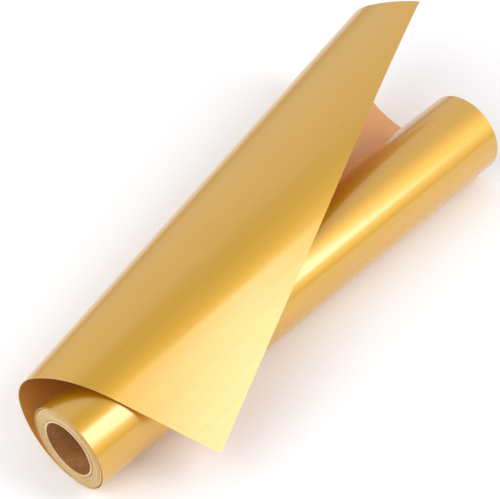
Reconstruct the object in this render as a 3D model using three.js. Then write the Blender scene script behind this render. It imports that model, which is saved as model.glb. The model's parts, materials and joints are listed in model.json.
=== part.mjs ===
// Roll of sign vinyl: metallic film on a paper release liner, wound film side out on a paper
// core, with the last stretch of the web pulled off as a tail that curls up and over the roll.
//
// Frame: millimetres, +Z up, +X along the core. The origin is on the surface that the roll
// rests on, under the middle of the roll. The tail leaves the roll at its lowest line towards +Y.

import * as THREE from 'three';

// ---- driving dimensions ------------------------------------------------------------------

const WEB_WIDTH = 304.8; // 12 in stock
const ROLL_RADIUS = 24; // outside of the outermost lap
const FILM = 0.3; // film thickness as modelled
const LINER = 0.3; // release liner thickness as modelled
const WEB_GAP = 0.1; // clearance between film and liner

const CORE_BORE_RADIUS = 15;
const CORE_OVERHANG = 0.3; // the core stands this far past each end of the web
const PLY_THICKNESSES = { core_inner_ply: 0.3, core_body_ply: 0.6, core_outer_ply: 0.3 };
const PLY_GAP = 0.05;
const CORE_SIDES = 48;

const TAPE_WIDTH = 12; // double-sided tape that holds the first lap to the core
const TAPE_THICKNESS = 0.15;
const TAPE_MARGIN = 5; // the tape stops this far short of each edge of the web

const PACK_LAPS = 3; // coarse laps standing for the many thin ones of the real roll
const PACK_GAP = 0.3; // clearance between wound layers
const PACK_SIDES = 48; // facets in one lap

const LAP_CLEARANCE = 0.3; // between the wound pack and the loose outermost lap
const LAP_WRAP = 330; // degrees of the outermost lap that go with the tail
const FACET_ANGLE = 6; // degrees of bend in one facet of the outermost lap and the tail

// The tail is a flat strip bent about straight lines. It lies flat on the surface, then bends
// round three cones, each of which shares a line with the next, and ends as a flat flap. Lengths
// along the web are measured from the line where it leaves the roll, on the edge at the -X end.
const TAIL_LENGTH = 173;
const LEAD_LENGTH = 1; // flat on the surface before the first bend
const LEAD_START = -2.5; // the flat stretch begins just before the roll's lowest line
const FIRST_BEND_ANGLE = 7.4; // degrees between the first bend line and the core
const RISE = { apexToEdge: 735, edgeRadius: 36.5, wrap: 73.5 };
const CURL = { apexToEdge: 743, edgeRadius: 17, wrap: 77 };
const SHOULDER = { apexToEdge: 230, edgeRadius: 41, wrap: 57 };
const PANEL_GAP = 0.3; // between neighbouring panels of the tail
const CORNER_CUT = 0.5; // width of the last facet, at the free corner

// ---- small helpers -----------------------------------------------------------------------

const X_NEAR = -WEB_WIDTH / 2;

const coat = (color, metalness, roughness) =>
  new THREE.MeshStandardMaterial({ color, metalness, roughness });

const goldFilm = () => coat(0xd4a43c, 0.9, 0.35);
const releasePaper = () => coat(0xdcb48a, 0, 0.6);
const kraftPaper = () => coat(0xb08560, 0, 0.85);
const adhesiveTape = () => coat(0xe8e4d0, 0, 0.5);

const model = new THREE.Group();

function addPiece(name, geometry, material) {
  const mesh = new THREE.Mesh(geometry, material);
  mesh.name = name;
  model.add(mesh);
}

// A station is one straight line across the web: its two ends and the direction that points
// to the inside of the curl, at right angles to the web.
const station = (near, far, inward) => ({ near, far, inward });

// A closed strip through a row of stations, from one depth to another below the outer face.
function stripGeometry(stations, depthFrom, depthTo) {
  const corners = [];
  const corner = (end, inward, depth) => {
    corners.push(end.clone().addScaledVector(inward, depth));
    return corners.length - 1;
  };
  const rings = stations.map(({ near, far, inward }) => [
    corner(near, inward, depthFrom),
    corner(far, inward, depthFrom),
    corner(far, inward, depthTo),
    corner(near, inward, depthTo),
  ]);
  const triangles = [];
  const quad = (a, b, c, d) => triangles.push(a, b, c, a, c, d);
  for (let i = 1; i < rings.length; i += 1) {
    const [a, b] = [rings[i - 1], rings[i]];
    for (let side = 0; side < 4; side += 1) {
      const next = (side + 1) % 4;
      quad(a[side], b[side], b[next], a[next]);
    }
  }
  const [first, last] = [rings[0], rings.at(-1)];
  quad(...first);
  quad(...last.reverse());

  const geometry = new THREE.BufferGeometry();
  geometry.setAttribute(
    'position',
    new THREE.Float32BufferAttribute(corners.flatMap((p) => p.toArray()), 3),
  );
  geometry.setIndex(triangles);
  geometry.computeVertexNormals();
  return geometry;
}

// ---- paper core and starting tape --------------------------------------------------------

// A station on a circle about the core, at an angle from the lowest line, turning towards +Y.
function coreStation(radius, angle, halfLength) {
  const inward = new THREE.Vector3(0, -Math.sin(angle), Math.cos(angle));
  const y = radius * Math.sin(angle);
  const z = ROLL_RADIUS - radius * Math.cos(angle);
  return station(
    new THREE.Vector3(-halfLength, y, z),
    new THREE.Vector3(halfLength, y, z),
    inward,
  );
}

function tubeGeometry(innerRadius, outerRadius, length) {
  const half = length / 2;
  const profile = [
    new THREE.Vector2(innerRadius, -half),
    new THREE.Vector2(outerRadius, -half),
    new THREE.Vector2(outerRadius, half),
    new THREE.Vector2(innerRadius, half),
    new THREE.Vector2(innerRadius, -half),
  ];
  const geometry = new THREE.LatheGeometry(profile, CORE_SIDES);
  geometry.rotateZ(-Math.PI / 2);
  geometry.translate(0, 0, ROLL_RADIUS);
  return geometry;
}

function addCore() {
  let radius = CORE_BORE_RADIUS;
  for (const [name, thickness] of Object.entries(PLY_THICKNESSES)) {
    const length = WEB_WIDTH + 2 * CORE_OVERHANG;
    addPiece(name, tubeGeometry(radius, radius + thickness, length), kraftPaper());
    radius += thickness + PLY_GAP;
  }
  return radius;
}

function addStartTape(innerRadius) {
  const outerRadius = innerRadius + PLY_GAP + TAPE_THICKNESS;
  const sweep = TAPE_WIDTH / outerRadius;
  const steps = 6;
  const stations = [];
  for (let i = 0; i <= steps; i += 1) {
    stations.push(coreStation(outerRadius, (sweep * i) / steps, WEB_WIDTH / 2 - TAPE_MARGIN));
  }
  addPiece('start_tape', stripGeometry(stations, 0, TAPE_THICKNESS), adhesiveTape());
  return outerRadius;
}

// ---- wound pack --------------------------------------------------------------------------

// Film and liner are two interleaved spirals that grow by one pitch in each lap.
function addWoundPack(innerRadius) {
  const webDepth = FILM + LINER + WEB_GAP;
  const outerRadius = ROLL_RADIUS - webDepth - LAP_CLEARANCE;
  const pitch = (outerRadius - innerRadius - PACK_GAP) / (PACK_LAPS + 1);
  const layer = pitch / 2 - PACK_GAP;
  const steps = PACK_LAPS * PACK_SIDES;
  const filmStations = [];
  const linerStations = [];
  for (let i = 0; i <= steps; i += 1) {
    const turns = i / PACK_SIDES;
    const angle = turns * 2 * Math.PI;
    const radius = innerRadius + PACK_GAP + pitch * (1 + turns);
    filmStations.push(coreStation(radius, angle, WEB_WIDTH / 2));
    linerStations.push(coreStation(radius - layer - PACK_GAP, angle, WEB_WIDTH / 2));
  }
  addPiece('wound_film', stripGeometry(filmStations, 0, layer), goldFilm());
  addPiece('wound_liner', stripGeometry(linerStations, 0, layer), releasePaper());
}

// ---- the bent tail -----------------------------------------------------------------------

// One bend is part of a cone. In the flat web its bend lines all pass through one point, the
// apex, at flat angles from `from` to `to`; bent, the lines turn about the cone's own axis.
class Bend {
  constructor({ apexFlat, apex, from, to, line, across, inward, tightness }) {
    Object.assign(this, { apexFlat, apex, from, to, line, across, inward });
    this.axis = inward.clone().addScaledVector(line, tightness).normalize();
    this.turnPerAngle = Math.hypot(1, tightness);
  }

  // Directions along the bend line, across it, and inward, at a flat angle.
  directionsAt(angle) {
    const turn = (angle - this.from) * this.turnPerAngle;
    return [this.line, this.across, this.inward].map((v) =>
      v.clone().applyAxisAngle(this.axis, turn),
    );
  }

  // How far along the bend line at a flat angle the web is crossed so far from its near edge.
  distanceAlong(angle, acrossWeb) {
    return (acrossWeb - this.apexFlat.x) / Math.cos(angle);
  }

  // The bend line that meets the tail's cut end at a distance across the web.
  angleAtCutEnd(acrossWeb) {
    return Math.atan2(TAIL_LENGTH - this.apexFlat.y, acrossWeb - this.apexFlat.x);
  }

  // The station on a bend line, stopped at the cut end where the line runs past it.
  stationAt(angle) {
    const [line, , inward] = this.directionsAt(angle);
    const toCutEnd = (TAIL_LENGTH - this.apexFlat.y) / Math.sin(angle);
    const far = Math.min(this.distanceAlong(angle, WEB_WIDTH), toCutEnd);
    return station(
      this.apex.clone().addScaledVector(line, this.distanceAlong(angle, 0)),
      this.apex.clone().addScaledVector(line, far),
      inward,
    );
  }

  // The next bend starts on this one's last line, with its apex elsewhere on that line.
  next({ apexToEdge, edgeRadius, wrap }) {
    const [line, across, inward] = this.directionsAt(this.to);
    const slide = this.distanceAlong(this.to, 0) - apexToEdge;
    const flatLine = new THREE.Vector2(Math.cos(this.to), Math.sin(this.to));
    const tightness = edgeRadius ? apexToEdge / edgeRadius : 0;
    const sweep = THREE.MathUtils.degToRad(wrap) / Math.hypot(1, tightness);
    return new Bend({
      apexFlat: this.apexFlat.clone().addScaledVector(flatLine, slide),
      apex: this.apex.clone().addScaledVector(line, slide),
      from: this.to,
      to: this.to + sweep,
      line,
      across,
      inward,
      tightness,
    });
  }
}

// The lead lies flat; its last line is the first bend line of the rise.
function leadBend() {
  const to = THREE.MathUtils.degToRad(FIRST_BEND_ANGLE);
  const apexFlat = new THREE.Vector2(
    -RISE.apexToEdge * Math.cos(to),
    LEAD_LENGTH - RISE.apexToEdge * Math.sin(to),
  );
  return new Bend({
    apexFlat,
    apex: new THREE.Vector3(X_NEAR + apexFlat.x, apexFlat.y, 0),
    from: 0,
    to,
    line: new THREE.Vector3(1, 0, 0),
    across: new THREE.Vector3(0, 1, 0),
    inward: new THREE.Vector3(0, 0, 1),
    tightness: 0,
  });
}

// Evenly spaced flat angles through a bend, with the line through the far free corner kept.
function anglesThrough(bend, from, to) {
  const facets = Math.ceil(((to - from) * bend.turnPerAngle) / THREE.MathUtils.degToRad(FACET_ANGLE));
  const angles = Array.from({ length: facets + 1 }, (_, i) => from + ((to - from) * i) / facets);
  const corner = bend.angleAtCutEnd(WEB_WIDTH);
  if (corner > from && corner < to) {
    angles.push(corner);
  }
  return angles.sort((a, b) => a - b);
}

const lead = leadBend();
const rise = lead.next(RISE);
const curl = rise.next(CURL);
const shoulder = curl.next(SHOULDER);
const flap = shoulder.next({ apexToEdge: SHOULDER.apexToEdge, edgeRadius: 0, wrap: 0 });
flap.to = flap.angleAtCutEnd(CORNER_CUT);

const gapAngle = (bend) => PANEL_GAP / bend.apexToEdge;

function addWebPanel(name, stations) {
  const linerTop = FILM + WEB_GAP;
  addPiece(`${name}_film`, stripGeometry(stations, 0, FILM), goldFilm());
  addPiece(`${name}_liner`, stripGeometry(stations, linerTop, linerTop + LINER), releasePaper());
}

// The loose outermost lap runs round the pack to the line where the tail leaves the roll.
function addOuterLap() {
  const steps = Math.round(LAP_WRAP / FACET_ANGLE);
  const start = -THREE.MathUtils.degToRad(LAP_WRAP);
  const end = (LEAD_START - PANEL_GAP) / ROLL_RADIUS;
  const stations = [];
  for (let i = 0; i <= steps; i += 1) {
    stations.push(coreStation(ROLL_RADIUS, start + ((end - start) * i) / steps, WEB_WIDTH / 2));
  }
  addWebPanel('outer_lap', stations);
}

// Flat on the surface, then up the back of the loop.
function addLead() {
  const rising = anglesThrough(rise, rise.from, rise.to - gapAngle(CURL));
  const start = station(
    new THREE.Vector3(-WEB_WIDTH / 2, LEAD_START, 0),
    new THREE.Vector3(WEB_WIDTH / 2, LEAD_START, 0),
    lead.inward,
  );
  const stations = [start];
  stations.push(...rising.map((angle) => rise.stationAt(angle)));
  addWebPanel('lead', stations);
}

function addCurl() {
  const angles = anglesThrough(curl, curl.from, curl.to - gapAngle(SHOULDER));
  addWebPanel('curl', angles.map((angle) => curl.stationAt(angle)));
}

function addFlap() {
  const bent = anglesThrough(shoulder, shoulder.from, shoulder.to);
  const flat = anglesThrough(flap, flap.from, flap.to);
  const stations = bent.map((angle) => shoulder.stationAt(angle));
  stations.push(...flat.slice(1).map((angle) => flap.stationAt(angle)));
  addWebPanel('flap', stations);
}

addWoundPack(addStartTape(addCore()));
addOuterLap();
addLead();
addCurl();
addFlap();

export default model;
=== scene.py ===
"""Roll of sign vinyl with its tail pulled off and curled over the roll.

The web is one strip of metallic film on a paper release liner. Each stretch of it is modelled
as a flat strip that is bent: wound round the paper core, wrapped as the loose outermost lap, or
curled about the straight bend lines of three cones to make the tail. All sizes are in metres.
"""

import json
import math
import random

import bmesh
import bpy
from mathutils import Matrix, Vector


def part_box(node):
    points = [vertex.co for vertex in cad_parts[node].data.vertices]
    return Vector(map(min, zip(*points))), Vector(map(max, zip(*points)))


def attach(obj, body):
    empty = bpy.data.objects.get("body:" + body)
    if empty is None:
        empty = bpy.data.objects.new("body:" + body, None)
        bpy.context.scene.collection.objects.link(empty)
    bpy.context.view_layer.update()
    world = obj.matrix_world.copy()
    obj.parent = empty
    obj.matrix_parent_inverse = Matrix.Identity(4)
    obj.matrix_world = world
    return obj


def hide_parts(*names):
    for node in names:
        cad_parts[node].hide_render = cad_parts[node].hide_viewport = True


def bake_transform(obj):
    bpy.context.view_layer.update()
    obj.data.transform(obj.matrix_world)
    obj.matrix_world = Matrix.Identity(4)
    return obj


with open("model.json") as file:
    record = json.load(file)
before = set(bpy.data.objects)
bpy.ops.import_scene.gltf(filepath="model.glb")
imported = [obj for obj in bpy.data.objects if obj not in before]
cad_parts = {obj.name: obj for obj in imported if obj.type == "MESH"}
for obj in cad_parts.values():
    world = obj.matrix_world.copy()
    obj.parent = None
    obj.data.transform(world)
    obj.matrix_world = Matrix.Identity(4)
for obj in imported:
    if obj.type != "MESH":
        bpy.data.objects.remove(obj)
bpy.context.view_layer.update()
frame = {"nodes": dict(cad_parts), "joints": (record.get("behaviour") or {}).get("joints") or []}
random.seed(7)

MM = 0.001

# ---- sizes taken from the frame ------------------------------------------------------------

LAP_LOW, LAP_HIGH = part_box("outer_lap_film")
WEB_WIDTH = LAP_HIGH.x - LAP_LOW.x
ROLL_RADIUS = (LAP_HIGH.z - LAP_LOW.z) / 2
CORE_LOW, CORE_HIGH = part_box("core_inner_ply")
CORE_LENGTH = CORE_HIGH.x - CORE_LOW.x
CORE_OUTER = (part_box("core_outer_ply")[1].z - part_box("core_outer_ply")[0].z) / 2
CORE_PLY_OUTER = (CORE_HIGH.z - CORE_LOW.z) / 2

# ---- sizes of the fine parts ---------------------------------------------------------------

FILM = 0.12 * MM
LINER = 0.2 * MM
WEB = FILM + LINER
CORE_INNER_PLY = 0.3 * MM
PLY_SEAM = 0.4 * MM  # butt gap between the turns of the inner ply
PLY_THINNING = 0.03 * MM  # so that the inner ply clears the tube's wall
WALL_CLEARANCE = 0.05 * MM  # from the tube's wall to the inner ply
PLY_ADVANCE = 75 * MM  # how far the inner ply moves along the core in one turn
PACK_LAPS = 22
LAP_SEGMENTS = 96
BEND_STEP = math.radians(1.5)
SMOOTH_ANGLE = math.radians(35)
LAYER_GAP = 0.01 * MM  # between the film and its liner
PACK_GAP = 0.42 * MM  # between the pack and the loose outermost lap
CORE_GAP = 0.22 * MM  # between the core and the first lap
LAP_WANDER = 0.22 * MM  # how far a lap may stand proud of the next, or short of it
LAP_START = math.radians(-345)  # where the outermost lap leaves the pack
LAP_SNUG = 0.25 * MM  # how much tighter the outermost lap is at its start
LAP_ROWS = 230

# The tail's driving dimensions, as in the frame.
TAIL_LENGTH = 173 * MM
LEAD_START = -2.5 * MM
LEAD_LENGTH = 1 * MM
FIRST_BEND_ANGLE = math.radians(7.4)
# Each bend: how far its apex is from the near edge, its radius there, and how far it wraps.
RISE_SHAPE = (735 * MM, 36.5 * MM, math.radians(73.5))
CURL_SHAPE = (743 * MM, 17 * MM, math.radians(77))
SHOULDER_SHAPE = (230 * MM, 41 * MM, math.radians(57))
TAIL_SEAM_WRAP = math.radians(34)  # round the curl, where the tail's two pieces meet


# ---- material helpers ----------------------------------------------------------------------

def srgb(hex_colour):
    """A hex sRGB colour as linear red, green, blue and alpha."""
    channels = [int(hex_colour[i:i + 2], 16) / 255 for i in (1, 3, 5)]
    linear = [c / 12.92 if c <= 0.04045 else ((c + 0.055) / 1.055) ** 2.4 for c in channels]
    return (*linear, 1.0)


def add_node(tree, kind, settings=None, inputs=None):
    """Adds a node; settings are its own attributes, and inputs are values or links by name."""
    node = tree.nodes.new(kind)
    for name, value in (settings or {}).items():
        setattr(node, name, value)
    for name, value in (inputs or {}).items():
        if isinstance(value, bpy.types.NodeSocket):
            tree.links.new(value, node.inputs[name])
        else:
            node.inputs[name].default_value = value
    return node


def new_material(name):
    """An empty node material and its tree, with a Principled shader wired to the output."""
    material = bpy.data.materials.new(name)
    material.use_nodes = True
    tree = material.node_tree
    tree.nodes.clear()
    shader = tree.nodes.new("ShaderNodeBsdfPrincipled")
    output = tree.nodes.new("ShaderNodeOutputMaterial")
    tree.links.new(shader.outputs["BSDF"], output.inputs["Surface"])
    return material, tree, shader


def metallised_film():
    """Calendered PVC film with a vacuum-metallised gold layer under a satin clear coat.
    The eye sees broad soft highlights, deep gold where the room is dark, and a pale veil at
    grazing angles. The calender leaves streaks about 3 mm wide and 55 mm long, along the roll;
    the pigment grain is 0.25 mm across, coarser than the real one, which would not show."""
    material, tree, shader = new_material("metallised_satin_film")
    where = add_node(tree, "ShaderNodeTexCoord").outputs["Object"]
    streaks = add_node(
        tree, "ShaderNodeMapping", inputs={"Vector": where, "Scale": (3.0, 60.0, 60.0)}
    )
    calender = add_node(
        tree, "ShaderNodeTexNoise",
        inputs={"Vector": streaks.outputs["Vector"], "Scale": 6.0, "Detail": 3.0},
    )
    grain = add_node(
        tree, "ShaderNodeTexNoise", inputs={"Vector": where, "Scale": 4000.0, "Detail": 2.0}
    )
    colour = add_node(
        tree, "ShaderNodeMix", {"data_type": "RGBA"},
        {"Factor": calender.outputs["Fac"], "A": srgb("#E2AF20"), "B": srgb("#DCA71A")},
    )
    rough = add_node(
        tree, "ShaderNodeMapRange",
        inputs={"Value": calender.outputs["Fac"], "To Min": 0.50, "To Max": 0.56},
    )
    bump = add_node(
        tree, "ShaderNodeBump",
        inputs={"Height": grain.outputs["Fac"], "Strength": 0.04, "Distance": 0.00002},
    )
    tree.links.new(colour.outputs["Result"], shader.inputs["Base Color"])
    tree.links.new(rough.outputs["Result"], shader.inputs["Roughness"])
    tree.links.new(bump.outputs["Normal"], shader.inputs["Normal"])
    shader.inputs["Metallic"].default_value = 1.0
    shader.inputs["Coat Weight"].default_value = 1.0
    shader.inputs["Coat Roughness"].default_value = 0.19
    shader.inputs["Coat IOR"].default_value = 1.95
    return material


def release_paper():
    """Glassine paper, supercalendered and silicone-coated: smooth, with a pale waxy sheen where
    the light glances off it. The real paper is a light tan; its colour here is deepened to amber,
    a painted reflection of the orange light that the gold film bounces onto it inside the loop.
    Its clouding is about 1 mm across."""
    material, tree, shader = new_material("silicone_release_paper")
    where = add_node(tree, "ShaderNodeTexCoord").outputs["Object"]
    cloud = add_node(
        tree, "ShaderNodeTexNoise", inputs={"Vector": where, "Scale": 900.0, "Detail": 4.0}
    )
    # Painted reflection: these two ambers stand in for the gold film's orange bounce light on the
    # light tan paper.
    colour = add_node(
        tree, "ShaderNodeMix", {"data_type": "RGBA"},
        {"Factor": cloud.outputs["Fac"], "A": srgb("#EAA650"), "B": srgb("#E09C46")},
    )
    bump = add_node(
        tree, "ShaderNodeBump",
        inputs={"Height": cloud.outputs["Fac"], "Strength": 0.1, "Distance": 0.00003},
    )
    tree.links.new(colour.outputs["Result"], shader.inputs["Base Color"])
    tree.links.new(bump.outputs["Normal"], shader.inputs["Normal"])
    shader.inputs["Roughness"].default_value = 0.6
    shader.inputs["Coat Weight"].default_value = 1.0
    shader.inputs["Coat Roughness"].default_value = 0.25
    shader.inputs["Coat IOR"].default_value = 1.8
    return material


def slit_edge():
    """The slit edges of paper and film, which make the roll's end face and the tail's pale rim:
    matt and cream-yellow, with fibres cut across about 0.7 mm apart."""
    material, tree, shader = new_material("slit_web_edge")
    where = add_node(tree, "ShaderNodeTexCoord").outputs["Object"]
    fibres = add_node(
        tree, "ShaderNodeTexNoise", inputs={"Vector": where, "Scale": 1500.0, "Detail": 4.0}
    )
    colour = add_node(
        tree, "ShaderNodeMix", {"data_type": "RGBA"},
        {"Factor": fibres.outputs["Fac"], "A": srgb("#E2D09C"), "B": srgb("#D2BA84")},
    )
    tree.links.new(colour.outputs["Result"], shader.inputs["Base Color"])
    shader.inputs["Roughness"].default_value = 0.75
    return material


def kraft_board(name, dark, light):
    """Spirally wound kraft paper board: brown and matt, with fibres 0.7 mm apart that run along
    the core, over clouding about 11 mm across."""
    material, tree, shader = new_material(name)
    where = add_node(tree, "ShaderNodeTexCoord").outputs["Object"]
    fibres = add_node(
        tree, "ShaderNodeMapping", inputs={"Vector": where, "Scale": (0.35, 1.0, 1.0)}
    )
    fibre_noise = add_node(
        tree, "ShaderNodeTexNoise",
        inputs={
            "Vector": fibres.outputs["Vector"], "Scale": 1400.0, "Detail": 6.0, "Roughness": 0.7,
        },
    )
    cloud = add_node(
        tree, "ShaderNodeTexNoise", inputs={"Vector": where, "Scale": 90.0, "Detail": 3.0}
    )
    mixed = add_node(
        tree, "ShaderNodeMath", {"operation": "MULTIPLY"},
        {0: fibre_noise.outputs["Fac"], 1: cloud.outputs["Fac"]},
    )
    spread = add_node(
        tree, "ShaderNodeMapRange",
        inputs={"Value": mixed.outputs["Value"], "From Min": 0.12, "From Max": 0.4},
    )
    colour = add_node(
        tree, "ShaderNodeMix", {"data_type": "RGBA"},
        {"Factor": spread.outputs["Result"], "A": srgb(dark), "B": srgb(light)},
    )
    bump = add_node(
        tree, "ShaderNodeBump",
        inputs={"Height": fibre_noise.outputs["Fac"], "Strength": 0.35, "Distance": 0.00008},
    )
    tree.links.new(colour.outputs["Result"], shader.inputs["Base Color"])
    tree.links.new(bump.outputs["Normal"], shader.inputs["Normal"])
    shader.inputs["Roughness"].default_value = 0.85
    return material


def adhesive_tape():
    """Double-sided tissue tape, coated both sides: milky, with a slightly tacky gloss and a
    tissue grain of about 0.6 mm."""
    material, tree, shader = new_material("double_sided_tape")
    where = add_node(tree, "ShaderNodeTexCoord").outputs["Object"]
    tissue = add_node(
        tree, "ShaderNodeTexNoise", inputs={"Vector": where, "Scale": 1800.0, "Detail": 3.0}
    )
    colour = add_node(
        tree, "ShaderNodeMix", {"data_type": "RGBA"},
        {"Factor": tissue.outputs["Fac"], "A": srgb("#EDE8D6"), "B": srgb("#DDD6C0")},
    )
    tree.links.new(colour.outputs["Result"], shader.inputs["Base Color"])
    shader.inputs["Roughness"].default_value = 0.4
    return material


FILM_LOOK = metallised_film()
LINER_LOOK = release_paper()
EDGE_LOOK = slit_edge()
KRAFT_INNER_LOOK = kraft_board("kraft_ply_wound", "#99622F", "#BE8751")
KRAFT_EDGE_LOOK = kraft_board("kraft_board_cut_edge", "#C9A883", "#EAD6BC")
TAPE_LOOK = adhesive_tape()


# ---- modelling helpers ---------------------------------------------------------------------

def start_clean():
    """Leaves nothing selected, so that an operator acts only on what comes next."""
    if bpy.context.object and bpy.context.object.mode != "OBJECT":
        bpy.ops.object.mode_set(mode="OBJECT")
    bpy.ops.object.select_all(action="DESELECT")


def finish_piece(piece, name, look, body=None, replaces=(), edge_look=None):
    """Puts its place into its mesh, gives it its look and body, and hides the CAD nodes it
    replaces.
    A strip's slit edges take the edge look, if there is one."""
    start_clean()
    piece.select_set(True)
    bpy.context.view_layer.objects.active = piece
    bpy.ops.object.transform_apply(location=True, rotation=True, scale=True)
    bpy.ops.object.shade_smooth_by_angle(angle=SMOOTH_ANGLE)
    piece.name = name
    piece.data.name = name
    slit_faces = [face.index for face in piece.data.polygons if face.material_index]
    piece.data.materials.clear()
    piece.data.materials.append(look)
    if edge_look:
        piece.data.materials.append(edge_look)
    for face in slit_faces:
        piece.data.polygons[face].material_index = 1 if edge_look else 0
    if body:
        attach(piece, body)
    if replaces:
        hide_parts(*replaces)
    return piece


def apply_modifier(piece, kind, **settings):
    modifier = piece.modifiers.new(kind.title(), kind)
    for name, value in settings.items():
        setattr(modifier, name, value)
    bpy.context.view_layer.objects.active = piece
    bpy.ops.object.modifier_apply(modifier=modifier.name)


def bent_strip(stations, depth, thickness, columns=24):
    """A flat grid with one row for each station, laid on the stations and given its thickness.
    A station is (near end, far end, inward direction); depth is measured inwards."""
    start_clean()
    rows = len(stations) - 1
    bpy.ops.mesh.primitive_grid_add(x_subdivisions=columns, y_subdivisions=rows, size=1)
    strip = bpy.context.active_object
    for vertex in strip.data.vertices:
        near, far, inward = stations[round((vertex.co.y + 0.5) * rows)]
        vertex.co = near.lerp(far, vertex.co.x + 0.5) + inward * (depth + thickness / 2)
    for _ in ("faces", "slit edges"):
        strip.data.materials.append(None)
    apply_modifier(
        strip, "SOLIDIFY", thickness=thickness, offset=0.0, use_even_offset=False, use_rim=True,
        material_offset_rim=1,
    )
    bpy.ops.object.mode_set(mode="EDIT")
    bpy.ops.mesh.select_all(action="SELECT")
    bpy.ops.mesh.normals_make_consistent(inside=False)
    bpy.ops.object.mode_set(mode="OBJECT")
    return strip


# ---- where the web goes --------------------------------------------------------------------

def round_station(radius, angle, near_x=-WEB_WIDTH / 2, far_x=WEB_WIDTH / 2):
    """A line along the roll at an angle from its lowest line, turning towards +Y."""
    inward = Vector((0, -math.sin(angle), math.cos(angle)))
    y = radius * math.sin(angle)
    z = ROLL_RADIUS - radius * math.cos(angle)
    return Vector((near_x, y, z)), Vector((far_x, y, z)), inward


class Bend:
    """Part of a cone: flat bend lines through one apex, turned about the cone's own axis."""

    def __init__(self, apex_flat, apex, start, line, inward, tightness, wrap):
        self.apex_flat = apex_flat
        self.apex = apex
        self.start = start
        self.line = line
        self.inward = inward
        self.axis = (inward + line * tightness).normalized()
        self.turn_per_angle = math.hypot(1, tightness)
        self.end = start + wrap / self.turn_per_angle

    def directions(self, angle):
        turn = Matrix.Rotation((angle - self.start) * self.turn_per_angle, 3, self.axis)
        return turn @ self.line, turn @ self.inward

    def distance(self, angle, across):
        return (across - self.apex_flat.x) / math.cos(angle)

    def cut_angle(self, across):
        """The bend line that meets the tail's cut end so far across the web."""
        return math.atan2(TAIL_LENGTH - self.apex_flat.y, across - self.apex_flat.x)

    def station(self, angle):
        line, inward = self.directions(angle)
        far = self.distance(angle, WEB_WIDTH)
        if angle > 0:
            far = min(far, (TAIL_LENGTH - self.apex_flat.y) / math.sin(angle))
        return self.apex + line * self.distance(angle, 0), self.apex + line * far, inward

    def stations(self, start=None, end=None, step=BEND_STEP):
        """Evenly turned stations, with the one through the far free corner kept."""
        start = self.start if start is None else start
        end = self.end if end is None else end
        count = max(1, math.ceil((end - start) * self.turn_per_angle / step))
        angles = [start + (end - start) * i / count for i in range(count + 1)]
        corner = self.cut_angle(WEB_WIDTH)
        if start < corner < end:
            angles.append(corner)
        return [self.station(angle) for angle in sorted(angles)]

    def following(self, apex_to_edge, edge_radius, wrap):
        """The next bend, whose apex lies elsewhere on this bend's last line."""
        line, inward = self.directions(self.end)
        slide = self.distance(self.end, 0) - apex_to_edge
        flat_line = Vector((math.cos(self.end), math.sin(self.end)))
        tightness = apex_to_edge / edge_radius if edge_radius else 0
        return Bend(
            self.apex_flat + flat_line * slide, self.apex + line * slide, self.end,
            line, inward, tightness, wrap,
        )


RISE_APEX_FLAT = Vector((
    -RISE_SHAPE[0] * math.cos(FIRST_BEND_ANGLE),
    LEAD_LENGTH - RISE_SHAPE[0] * math.sin(FIRST_BEND_ANGLE),
))
LEAD = Bend(
    RISE_APEX_FLAT, Vector((RISE_APEX_FLAT.x - WEB_WIDTH / 2, RISE_APEX_FLAT.y, 0)), 0.0,
    Vector((1, 0, 0)), Vector((0, 0, 1)), 0.0, FIRST_BEND_ANGLE,
)
RISE = LEAD.following(*RISE_SHAPE)
CURL = RISE.following(*CURL_SHAPE)
SHOULDER = CURL.following(*SHOULDER_SHAPE)
FLAP = SHOULDER.following(SHOULDER_SHAPE[0], 0, 0)
FREE_CORNER = 0.3 * MM  # width of the last row, at the free corner
FLAP.end = FLAP.cut_angle(FREE_CORNER)
SEAM_ANGLE = CURL.start + TAIL_SEAM_WRAP / CURL.turn_per_angle


# ---- the core ------------------------------------------------------------------------------

def core_tube():
    """The body plies: a cylinder whose ends are inset and opened, and joined by the bore wall."""
    start_clean()
    bpy.ops.mesh.primitive_cylinder_add(
        vertices=144, radius=CORE_OUTER, depth=CORE_LENGTH, end_fill_type="NGON",
        location=(0, 0, ROLL_RADIUS), rotation=(0, math.pi / 2, 0),
    )
    tube = bpy.context.active_object
    wall = CORE_OUTER - CORE_PLY_OUTER - WALL_CLEARANCE
    bpy.ops.object.mode_set(mode="EDIT")
    select_faces(tube, lambda face: abs(face.normal.z) > 0.9)
    bpy.ops.mesh.inset(thickness=wall, depth=0)
    bpy.ops.mesh.bridge_edge_loops()
    select_faces(tube, lambda face: abs(face.normal.z) > 0.9)
    bpy.ops.mesh.inset(thickness=wall * 0.35, depth=0.08 * MM)
    bpy.ops.object.mode_set(mode="OBJECT")
    finish_piece(
        tube, "core_tube", KRAFT_EDGE_LOOK, "roll", ("core_body_ply", "core_outer_ply")
    )


def select_faces(piece, wanted):
    """Selects in edit mode the faces for which wanted is true, and nothing else."""
    bpy.ops.mesh.select_mode(type="FACE")
    bpy.ops.mesh.select_all(action="DESELECT")
    mesh = bmesh.from_edit_mesh(piece.data)
    for face in mesh.faces:
        face.select_set(wanted(face))
    bmesh.update_edit_mesh(piece.data)


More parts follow.
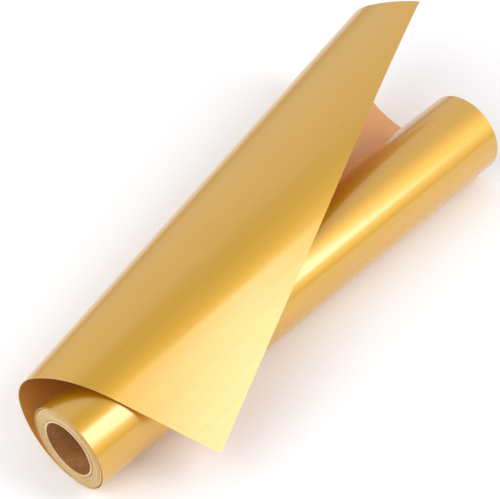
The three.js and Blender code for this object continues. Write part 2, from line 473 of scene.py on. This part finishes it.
def core_inner_ply():
    """The ply that lines the bore: one strip wound on a helix with a hairline butt seam."""
    half = CORE_LENGTH / 2
    middle = CORE_PLY_OUTER - CORE_INNER_PLY / 2
    turns = CORE_LENGTH / PLY_ADVANCE + 2
    rows = round(turns * 120)
    start_clean()
    bpy.ops.mesh.primitive_grid_add(x_subdivisions=12, y_subdivisions=rows, size=1)
    ply = bpy.context.active_object
    for vertex in ply.data.vertices:
        turn = (vertex.co.y + 0.5) * turns
        across = (vertex.co.x + 0.5) * (PLY_ADVANCE - PLY_SEAM)
        angle = turn * 2 * math.pi
        vertex.co = (
            (turn - 1.5) * PLY_ADVANCE + across - half,
            middle * math.sin(angle),
            ROLL_RADIUS + middle * math.cos(angle),
        )
    bpy.ops.object.mode_set(mode="EDIT")
    for end in (-half, half):
        bpy.ops.mesh.select_all(action="SELECT")
        bpy.ops.mesh.bisect(
            plane_co=(end, 0, 0), plane_no=(math.copysign(1, end), 0, 0), clear_outer=True
        )
    bpy.ops.object.mode_set(mode="OBJECT")
    apply_modifier(ply, "SOLIDIFY", thickness=CORE_INNER_PLY - PLY_THINNING, offset=0.0)
    finish_piece(ply, "core_bore_ply", KRAFT_INNER_LOOK, "roll", ("core_inner_ply",))


# ---- the wound pack ------------------------------------------------------------------------

def wound_pack():
    """Film and liner as two interleaved spirals, with laps that sit a little unevenly."""
    inner_radius = CORE_OUTER + CORE_GAP
    outer_radius = ROLL_RADIUS - WEB - PACK_GAP
    pitch = (outer_radius - inner_radius) / PACK_LAPS
    between_layers = 0.02 * MM
    liner_share = 0.6
    liner = (pitch - 2 * between_layers) * liner_share
    film = (pitch - 2 * between_layers) * (1 - liner_share)
    wander = [random.uniform(-1, 1) for _ in range(PACK_LAPS + 3)]

    def laps(radius_offset):
        stations = []
        for i in range((PACK_LAPS - 1) * LAP_SEGMENTS + 1):
            turn = i / LAP_SEGMENTS
            lap = int(turn)
            ease = turn - lap
            ease = ease * ease * (3 - 2 * ease)
            shift = LAP_WANDER * (wander[lap] * (1 - ease) + wander[lap + 1] * ease)
            radius = inner_radius + pitch * (turn + 1) - radius_offset
            stations.append(round_station(
                radius, turn * 2 * math.pi, -WEB_WIDTH / 2 + shift, WEB_WIDTH / 2 + shift
            ))
        return stations

    film_piece = bent_strip(laps(0), 0, film, columns=1)
    finish_piece(film_piece, "wound_film_laps", FILM_LOOK, "roll", ("wound_film",))
    liner_piece = bent_strip(laps(film + between_layers), 0, liner, columns=1)
    finish_piece(liner_piece, "wound_liner_laps", EDGE_LOOK, "roll", ("wound_liner",))


# ---- the outermost lap and the tail --------------------------------------------------------

def web_pair(name, stations):
    """The film and the liner of one stretch of web."""
    film = bent_strip(stations, 0, FILM)
    film = finish_piece(film, f"{name}_film", FILM_LOOK, edge_look=EDGE_LOOK)
    liner = bent_strip(stations, FILM + LAYER_GAP, LINER)
    liner = finish_piece(liner, f"{name}_liner", LINER_LOOK, edge_look=EDGE_LOOK)
    return film, liner


def outer_lap():
    """Runs round the pack, a little loose, and meets the lead at the lowest line."""
    end = LEAD_START / ROLL_RADIUS
    stations = []
    for i in range(LAP_ROWS + 1):
        t = i / LAP_ROWS
        angle = LAP_START + (end - LAP_START) * t
        snug = LAP_SNUG * (1 - t) ** 2
        stations.append(round_station(ROLL_RADIUS - snug, angle))
    for piece, node in zip(web_pair("lap", stations), ("outer_lap_film", "outer_lap_liner")):
        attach(piece, "lap")
        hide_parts(node)


def hinge(name):
    """A joint's point and its axis."""
    joint = next(j for j in frame["joints"] if j["name"] == name)
    return Vector(joint["pos_m"]), Vector(joint["axis"]).normalized()


def tail():
    """The tail in two pieces that meet round the curl, each of film and liner: the back piece
    runs from the lead into the curl, and the front piece from there over the shoulder to the
    flap.
    """
    first = (
        Vector((-WEB_WIDTH / 2, LEAD_START, 0)),
        Vector((WEB_WIDTH / 2, LEAD_START, 0)),
        LEAD.inward,
    )
    back = [first] + RISE.stations() + CURL.stations(end=SEAM_ANGLE)[1:]
    front = CURL.stations(start=SEAM_ANGLE) + SHOULDER.stations()[1:] + FLAP.stations()[1:]
    loop_at, loop_axis = hinge("loop_opens")
    flap_at, flap_axis = hinge("flap_lifts")
    rising = Vector((0, 0, 1))
    rising = (rising - loop_axis * rising.dot(loop_axis)).normalized()
    forward = Vector((0, -1, 0))
    forward = (forward - flap_axis * forward.dot(flap_axis)).normalized()
    plans = (
        ("tail_back", back, "lap", "curl", loop_at, rising, -14 * MM, 9 * MM, ("lead",)),
        (
            "tail_front", front, "curl", "flap", flap_at, forward, -10 * MM, 22 * MM,
            ("curl", "flap"),
        ),
    )
    for name, stations, body_a, body_b, at, way, before, after, nodes in plans:
        for piece, layer in zip(web_pair(name, stations), ("film", "liner")):
            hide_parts(*[f"{node}_{layer}" for node in nodes])
            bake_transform(piece)


core_tube()
core_inner_ply()
wound_pack()
outer_lap()
tail()
frame["nodes"]["start_tape"].data.materials.clear()
frame["nodes"]["start_tape"].data.materials.append(TAPE_LOOK)


# ---- stage: floor, light and camera --------------------------------------------------------

# How bright the room is at each height, from the horizon (0) to straight up (1).
WALL_STRENGTHS = ((0.02, 0.2), (0.2, 0.92), (0.8, 0.92), (0.92, 0.45))


def stage():
    start_clean()
    bpy.ops.mesh.primitive_plane_add(size=6, location=(0, 0, -0.1 * MM))
    floor = bpy.context.active_object
    floor.name = "floor"
    material, _, shader = new_material("pale_sweep")
    shader.inputs["Base Color"].default_value = srgb("#FAF9FB")
    shader.inputs["Roughness"].default_value = 0.9
    floor.data.materials.append(material)

    world = bpy.data.worlds.new("studio")
    bpy.context.scene.world = world
    world.use_nodes = True
    tree = world.node_tree
    background = tree.nodes["Background"]
    background.inputs["Color"].default_value = srgb("#FFFFFF")
    way = add_node(tree, "ShaderNodeTexCoord").outputs["Generated"]
    split = add_node(tree, "ShaderNodeSeparateXYZ", inputs={"Vector": way})
    ramp = add_node(tree, "ShaderNodeValToRGB", inputs={"Fac": split.outputs["Z"]})
    ramp.color_ramp.interpolation = "EASE"
    stops = ramp.color_ramp.elements
    while len(stops) < len(WALL_STRENGTHS):
        stops.new(0.5)
    for stop, (place, strength) in zip(stops, WALL_STRENGTHS):
        stop.position = place
        stop.color = (strength, strength, strength, 1)
    tree.links.new(ramp.outputs["Color"], background.inputs["Strength"])


def softbox(name, direction, distance, size, power):
    """A rectangular white lamp that faces the middle of the roll."""
    data = bpy.data.lights.new(name, "AREA")
    data.shape = "RECTANGLE"
    data.size, data.size_y = size
    data.energy = power
    lamp = bpy.data.objects.new(name, data)
    bpy.context.scene.collection.objects.link(lamp)
    way = Vector(direction).normalized()
    lamp.location = Vector((0, 0, ROLL_RADIUS)) + way * distance
    lamp.rotation_euler = way.to_track_quat("Z", "Y").to_euler()


def camera():
    """A long lens looking down on the roll from its near end, on the side of the flap."""
    azimuth, elevation = math.radians(-46.96), math.radians(46.48)
    distance, shift_right, shift_up = 911.9 * MM, -17.1 * MM, 14.6 * MM
    focal_length = 3.488  # in widths of the image
    sensor = 36
    data = bpy.data.cameras.new("camera")
    data.sensor_width = sensor
    data.lens = focal_length * sensor
    holder = bpy.data.objects.new("camera", data)
    bpy.context.scene.collection.objects.link(holder)
    back = Vector((
        math.sin(azimuth) * math.cos(elevation),
        -math.cos(azimuth) * math.cos(elevation),
        math.sin(elevation),
    ))
    right = Vector((math.cos(azimuth), math.sin(azimuth), 0))
    up = back.cross(right)
    holder.location = (
        Vector((0, 0, ROLL_RADIUS)) + back * distance + right * shift_right + up * shift_up
    )
    holder.rotation_euler = (math.pi / 2 - elevation, 0, azimuth)
    bpy.context.scene.camera = holder


stage()
# The key is a tall softbox, whose reflection is the bright streak along the roll and the tail.
softbox("key", (0.39, -0.63, 0.67), 2.0, (0.68, 1.35), 12.5)
# The fill lights the floor and the near end face, from a side that the film doesn't mirror
# towards the camera.
softbox("fill", (-0.75, 0.13, 0.65), 1.3, (1.2, 1.0), 6.5)
camera()
bpy.context.scene.view_settings.view_transform = "Standard"
